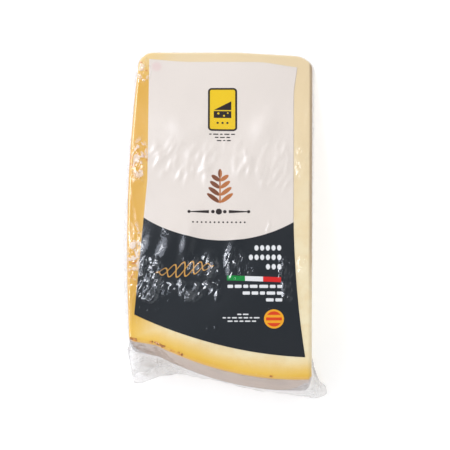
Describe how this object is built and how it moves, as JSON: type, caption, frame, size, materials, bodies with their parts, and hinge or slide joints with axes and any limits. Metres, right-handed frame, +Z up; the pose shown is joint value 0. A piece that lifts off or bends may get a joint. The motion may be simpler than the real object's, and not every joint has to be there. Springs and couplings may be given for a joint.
{
  "type": "vacuum-packed wedge of grana cheese",
  "caption": "Wedge of hard grana cheese in a tight clear vacuum bag with loose film at its foot, and a printed label on its sloping upper cut face.",
  "frame": {"origin": "on the ground, under the middle of the bagged wedge's box", "axes": "+X across the wheel's height, from its flat face to the halving cut; +Y from the rim to the tip; +Z up"},
  "size_m": [0.1249, 0.2135, 0.0746],
  "materials": {
    "cheese": "fine grainy straw-coloured paste that turns golden towards a thin brown rind",
    "film": "clear glossy wrinkled film",
    "label": null
  },
  "bodies": {
    "root": {"bagged_wedge": "cheese", "label": "label"}
  },
  "joints": []
}
